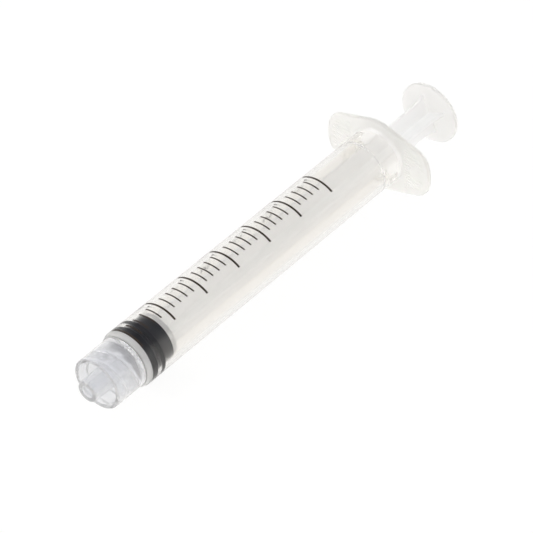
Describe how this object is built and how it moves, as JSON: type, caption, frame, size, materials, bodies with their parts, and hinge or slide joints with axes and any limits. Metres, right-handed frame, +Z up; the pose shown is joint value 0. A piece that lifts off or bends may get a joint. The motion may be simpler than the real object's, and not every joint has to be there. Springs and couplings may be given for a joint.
{
  "type": "luer lock syringe",
  "caption": "Clear disposable syringe with a locking luer tip, black rubber stopper, crossed-fin plunger rod and winged finger flange.",
  "frame": {"origin": "centre of the luer nozzle's end face", "axes": "+X along the barrel from the nozzle to the thumb rest, +Y along the flange's long axis, +Z up as the syringe lies on its flange"},
  "size_m": [0.0899, 0.0222, 0.0144],
  "materials": {
    "clear_barrel": "gloss",
    "frosted_rod": "satin",
    "black_rubber": "satin"
  },
  "bodies": {
    "barrel": {"barrel": "clear_barrel"},
    "stopper": {"stopper": "black_rubber"},
    "rod": {"plunger_rod": "frosted_rod"}
  },
  "joints": [
    {"name": "plunger_slide", "type": "slide", "parent": "barrel", "child": "stopper", "axis": [1, 0, 0], "range_m": [0, 0.0565]},
    {"name": "rod_spin", "type": "hinge", "parent": "stopper", "child": "rod", "pos_m": [0.018, 0, 0], "axis": [1, 0, 0], "continuous": true}
  ]
}
